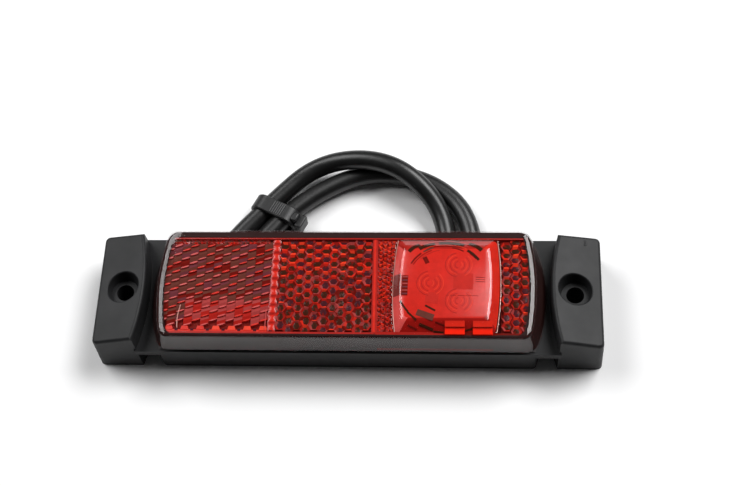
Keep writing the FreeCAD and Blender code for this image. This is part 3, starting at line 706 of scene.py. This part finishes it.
def make_window_core():
    """The coloured body of the light window, its facets coloured by the way they face as painted light and
    shade, and the optics moulded into it.
    """
    shell = Shell()
    stack = ((0, 0.3, -1.3), (0, 0.3, -0.3), (0.8, 0.28, 1.3), (0.93, 0.36, 1.57), (1, 0.6, 1.7))
    rings = shell.stack([raised(window_plan(inset, rise), FACE + height) for rise, inset, height in stack])
    per_side = len(rings[0]) // 4
    # painted light and shade: the front facets deep saturated red, the right facets bright, the back facets
    # warm, the left facets pinkish as painted highlight
    tones = (SATURATED, BRIGHT, WARM, BEVEL)
    for number in range(len(shell.slots)):
        shell.slots[number] = tones[(number % len(rings[0])) // per_side]
    shell.face(rings[-1], WINDOW)
    shell.face(reversed(rings[0]), DEEP)
    piece("window_core", shell, REDS, (), 25.0)

    detail = Shell()
    bowl = (25.3, -0.4)
    # the arcs of the reflector bowl; the thin bright and pale arcs among them are painted highlight
    for radius, start, end, width, tone in (
            (11.3, 66, 99, 1.0, BROWN), (11.3, 104, 126, 1.0, BROWN), (12.5, 122, 138, 1.0, BROWN),
            (12.6, 44, 62, 1.1, BROWN), (12.4, 74, 90, 0.5, BROWN_RED), (10.3, 36, 58, 0.7, BROWN),
            (10.0, 108, 124, 0.45, BROWN_RED), (9.6, 62, 80, 0.3, DEEP), (10.0, 128, 150, 0.4, DEEP),
            (9.9, 40, 52, 0.2, DEEP),
            (9.4, 112, 150, 0.16, DEEP), (8.9, 100, 135, 0.12, WARM), (10.5, 60, 118, 0.14, PAINTED_GLINT),
            (12.1, 62, 118, 0.16, ROSE_LIGHT), (10.2, 66, 112, 0.14, WARM), (12.3, 205, 222, 0.5, BROWN)):
        drape(detail, arc(bowl, radius, start, end), width, tone, 0.05, 2)
    for start, end, width, tone in (
            ((16.0, -8.7), (18.2, -10.8), 0.5, BROWN), ((18.3, -8.7), (22.5, -10.2), 1.7, BROWN_RED),
            ((20.4, -6.9), (22.9, -8.3), 0.5, BROWN), ((19.0, -11.7), (22.4, -12.9), 0.6, BROWN),
            ((22.5, -13.2), (25.0, -13.4), 0.35, BROWN), ((30.3, -13.0), (32.3, -12.5), 0.35, BROWN),
            ((23.0, -11.2), (25.2, -11.9), 0.25, DEEP), ((16.2, -11.9), (18.4, -12.8), 0.3, DEEP),
            ((32.9, 0.9), (35.2, 0.8), 0.1, DEEP), ((32.9, 0.3), (35.2, 0.2), 0.1, DEEP),
            ((32.9, -0.3), (35.2, -0.4), 0.1, DEEP), ((25.5, -4.1), (33.5, -4.2), 0.1, WARM),
            ((20.0, 6.4), (20.8, 4.7), 1.1, DEEP)):
        drape(detail, (start, end), width, tone)
    # painted highlight: two bright squares on the front bevel, their front step the brightest
    for left, right in ((25.3, 30.2), (32.2, 37.0)):
        for front, back in ((-13.95, -12.35), (-12.35, -10.95)):
            low, high = (core_height(0.5 * (left + right), y) + 0.05 for y in (front, back))
            section = ((front, FACE - 0.7), (front, 0.45 * low + 0.55 * high), (back, high),
                       (back, FACE - 0.7))
            detail.wedge((left, right), section, PAINTED_HOTSPOT if front < -13 else BRIGHT)
    # painted highlight: thin pale lines along the foot of the window's left and right sides
    for foot, bow in ((12.85, -0.9), (38.1, 0.9)):
        side = [(foot + 0.3 * t + bow * 4 * t * (1 - t), -13.3 + 25.2 * t)
                for t in (step / 12 for step in range(13))]
        drape(detail, side, 0.2, PAINTED_PALE_HIGHLIGHT, 0.12, 1)
    drape(detail, ((27.3, -0.2), (32.2, -0.3)), 4.4, WINDOW_SHADE, 0.02)
    drape(detail, ((20.4, -4.6), (23.6, -5.0)), 3.0, WINDOW_SHADE, 0.02)
    drape(detail, ((13.3, 1.9), (13.1, -3.9)), 1.8, UMBER, 0.06)
    drape(detail, ((15.2, 1.3), (15.1, -4.2)), 1.6, DEEP, 0.04)
    for row in range(6):
        y = 0.9 - row * 0.92
        drape(detail, ((14.5, y), (15.9, y)), 0.34, PLUM_RED if row % 2 else ROSE, 0.09, 2)
    # painted highlight: the rings round each diode alternate bright and dark, the order swapped between
    # their left and right halves
    for centre in ((28.6, 4.3), (21.5, -0.8), (28.7, -5.6)):
        for ring in range(5):
            radius = 0.9 + ring * 0.62
            drape(detail, arc(centre, radius, 100, 262), 0.12, PAINTED_GLINT if ring % 2 else WARM, 0.07, 1)
            drape(detail, arc(centre, radius, -62, 48), 0.12, WARM if ring % 2 else PAINTED_GLINT, 0.05, 1)
    piece("window_optics", detail, REDS, (), 25.0)


# ---------------------------------------------------------------- housing and inside

def make_housing():
    """The black moulding, its edges eased, with a small gate mark on the right lug."""
    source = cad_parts["mounting_base"]
    mesh = source.data.copy()
    work = bmesh.new()
    work.from_mesh(mesh)
    bmesh.ops.remove_doubles(work, verts=work.verts, dist=1e-6)
    bmesh.ops.dissolve_limit(work, angle_limit=math.radians(0.6), verts=work.verts, edges=work.edges)
    for face in work.faces:
        face.smooth = True
    work.to_mesh(mesh)
    work.free()
    mesh.set_sharp_from_angle(angle=math.radians(38))
    mesh.materials.clear()
    mesh.materials.append(housing_black)
    made = bpy.data.objects.new("housing_moulding", mesh)
    bpy.context.collection.objects.link(made)
    soften(made, 0.35, 3, 40.0)
    settle(made, ["mounting_base"])
    mark = Shell()
    rings = mark.stack([raised([Vector(point) for point in arc((60.4, 13.2), radius, 0, 342, 19)], height)
                        for radius, height in ((0.9, 12.9), (0.85, 13.42), (0.6, 13.5), (0.3, 13.45))])
    mark.face(reversed(rings[0]))
    mark.face(rings[-1])
    piece("gate_mark", mark, [housing_black])


def dress(name, material):
    """Gives a CAD node its material."""
    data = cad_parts[name].data
    data.materials.clear()
    data.materials.append(material)


def dress_inside():
    """Materials of the sealed electronics and the pieces under the base."""
    green = moulded("board_green", (0.02, 0.13, 0.06), (0.03, 0.19, 0.08), (0.25, 0.35), 1800.0,
                    coat=0.4)
    chip = moulded("chip_black", (0.02, 0.02, 0.021), (0.035, 0.035, 0.036), (0.45, 0.6))
    ceramic = moulded("capacitor_tan", (0.42, 0.32, 0.2), (0.55, 0.43, 0.28), (0.35, 0.5))
    pale = moulded("backing_white", (0.62, 0.6, 0.57), (0.72, 0.7, 0.67), (0.35, 0.5))
    resin = moulded("potting_black", (0.012, 0.012, 0.013), (0.02, 0.02, 0.021), (0.12, 0.25), 300.0,
                    coat=0.5)
    tin = metal("tin", (0.72, 0.72, 0.7), 0.28)
    chrome = metal("reflector_chrome", (0.86, 0.86, 0.87), 0.06)
    diode = moulded("diode_yellow", (0.7, 0.55, 0.12), (0.8, 0.66, 0.2), (0.15, 0.25), 500.0, coat=0.6)
    brown = moulded("core_brown", (0.16, 0.06, 0.025), (0.22, 0.085, 0.035), (0.3, 0.42), coat=0.2)
    black = moulded("core_black", (0.015, 0.015, 0.016), (0.025, 0.025, 0.026), (0.3, 0.42), coat=0.2)
    rubber = moulded("relief_rubber", (0.012, 0.012, 0.012), (0.02, 0.02, 0.02), (0.5, 0.62), 1200.0)
    plan = {
        "circuit_board": green, "driver_chip": chip, "resistor_1": chip, "resistor_2": chip,
        "reverse_polarity_diode": chip, "smoothing_capacitor": ceramic, "reflector_backing": pale,
        "potting_resin": resin, "solder_joint_positive": tin, "solder_joint_negative": tin,
        "conductor_positive": brown, "conductor_negative": black, "tinned_tip_positive": tin,
        "tinned_tip_negative": tin, "lens_seal": weld_dark, "cable_strain_relief": rubber,
        "light_box": REDS[WARM], "reflector_bowl": chrome, "light_diode_1": diode, "light_diode_2": diode,
        "light_diode_3": diode,
    }
    for name, material in plan.items():
        dress(name, material)
    return brown, black


# ---------------------------------------------------------------- cable and tie

def make_cable(brown, black):
    """The looped supply cable with its two bare cores."""
    cable = spline_curve("supply_cable_loop", CABLE_ROUTE, CABLE_DIAMETER)
    cable.data.materials.append(cable_black)
    settle(cable, ["supply_cable"])
    cores = []
    for pole, material in (("positive", brown), ("negative", black)):
        core = spline_curve(f"bare_core_{pole}", CORE_ROUTES[pole], CORE_DIAMETER)
        core.data.materials.append(material)
        settle(core, [f"cable_core_{pole}"])
        cores.append(core)
    return cable, cores


def make_tie():
    """Cable tie: a band hugging both strands, grip ridges lighter grey as painted highlight, square head
    and cut tail.
    """
    centre, turn = Vector((-21.1, 27.1, 3.75)), math.radians(-26.3)
    across = Vector((math.cos(turn), math.sin(turn), 0))
    along = Vector((-math.sin(turn), math.cos(turn), 0))

    def spot(u, v, w):
        """A point in the tie's own frame: across the strands, along them, up."""
        return centre + across * u + along * v + Z_UP * w

    def tie_plan(u0, u1, v0, v1, w):
        """A rectangle in the tie's own frame, at a height."""
        return [spot(u, v, w) for u, v in ((u0, v0), (u1, v0), (u1, v1), (u0, v1))]

    def dip(u):
        """How far the band sinks between the two strands."""
        return 0.3 * math.cos(math.pi * u / 2 / half) ** 2

    band = Shell()
    half, inner, outer, width = 3.33, 2.72, 3.5, 2.2
    section = ((inner, -width), (inner, width), (outer - 0.2, width), (outer, width - 0.25),
               (outer, 0.25 - width), (outer - 0.2, -width))
    rings = []
    for side in (1, -1):
        for step in range(15):
            angle = math.radians(-90 * side + 180 / 14 * step)
            rings.append([spot(side * half + r * math.cos(angle), v, r * math.sin(angle))
                          for r, v in section])
        for u in (1.9 * side, 0.8 * side, -0.8 * side, -1.9 * side):
            rings.append([spot(u, v, side * (r - dip(u))) for r, v in section])
    numbers = [band.add(ring) for ring in rings]
    for low, high in zip(numbers, numbers[1:] + numbers[:1]):
        band.bridge(low, high)
    grip = Shell()
    for ridge in range(6):
        u = -0.9 + ridge * 0.62
        height = outer - dip(u + 0.17)
        grip.closed(tie_plan(u, u + 0.4, -1.8, 1.8, height - 0.15),
                    tie_plan(u + 0.12, u + 0.28, -1.7, 1.7, height + 0.28))
    ridges = piece("tie_grip_ridges", grip, [ridge_highlight_grey])
    tie = piece("tie_band", band, [tie_black], ["cable_tie_band"], 30.0)
    head = Shell()
    low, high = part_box("cable_tie_head")
    reach = (Vector(high) - Vector(low)).z / MM / 2
    for u0, u1, v0, v1, w0, w1 in ((6.75, 8.8, -2.0, 2.0, -reach, reach),
                                   (5.3, 7.0, -1.3, 1.3, 1.7, 3.3)):
        head.closed(tie_plan(u0, u1, v0, v1, w0), tie_plan(u0, u1, v0, v1, w1))
    block = piece("tie_head", head, [tie_black], ["cable_tie_head"], 30.0)
    return tie, ridges, soften(block, 0.4)


# ---------------------------------------------------------------- studio

def area_light(name, direction, distance, size, radiance):
    """A soft box in a direction from the lamp, its brightness given as radiance."""
    data = bpy.data.lights.new(name, "AREA")
    data.shape = "RECTANGLE"
    data.size, data.size_y = size
    data.energy = radiance * math.pi * size[0] * size[1]
    light = bpy.data.objects.new(name, data)
    spot = Vector(direction).normalized()
    light.location = spot * distance
    light.rotation_euler = spot.to_track_quat("Z", "Y").to_euler()
    bpy.context.collection.objects.link(light)


def make_studio():
    """White table top, a high soft box on each side of the back, a dim room."""
    mesh = bpy.data.meshes.new("table_top")
    reach = 4.0
    mesh.from_pydata([(-reach, -reach, 0), (reach, -reach, 0), (reach, reach, 0), (-reach, reach, 0)], [],
                     [(0, 1, 2, 3)])
    material, tree, shader = shader_nodes("table_white")
    tree.links.new(ramp(tree, noise(tree, 6.0), (0.9, 0.9, 0.905), (0.93, 0.93, 0.93)),
                   shader.inputs["Base Color"])
    shader.inputs["Roughness"].default_value = 0.7
    mesh.materials.append(material)
    table = bpy.data.objects.new("table_top", mesh)
    table.location.z = -0.00005
    bpy.context.collection.objects.link(table)
    distance, size = 1.1, (0.7, 0.5)
    area_light("box_right", (0.475, 0.365, 0.799), distance, size, 11.0)
    area_light("box_left", (-0.560, 0.322, 0.766), distance, size, 6.8)
    world = bpy.data.worlds.new("room")
    world.use_nodes = True
    world.node_tree.nodes["Background"].inputs["Color"].default_value = (0.03, 0.03, 0.0305, 1)
    bpy.context.scene.world = world
    bpy.context.scene.view_settings.view_transform = "Standard"


make_camera()
brown_core, black_core = dress_inside()
cable, cores = make_cable(brown_core, black_core)
tie_pieces = make_tie()
make_housing()
make_lens()
make_lens_edge()
make_wide_angle_panel()
make_strip()
hex_panel("centre_prisms", -17.1, 6.7, 1.0, 0.62, ["reflex_panel_centre"])
hex_panel("fine_prisms", 8.2, 12.6, 0.5, 0.3, ["reflex_panel_fine"])
hex_panel("end_prisms", 39.4, 46.4, 1.0, 0.62, ["reflex_panel_end"])
make_light_box_edge()
make_window_core()
make_studio()
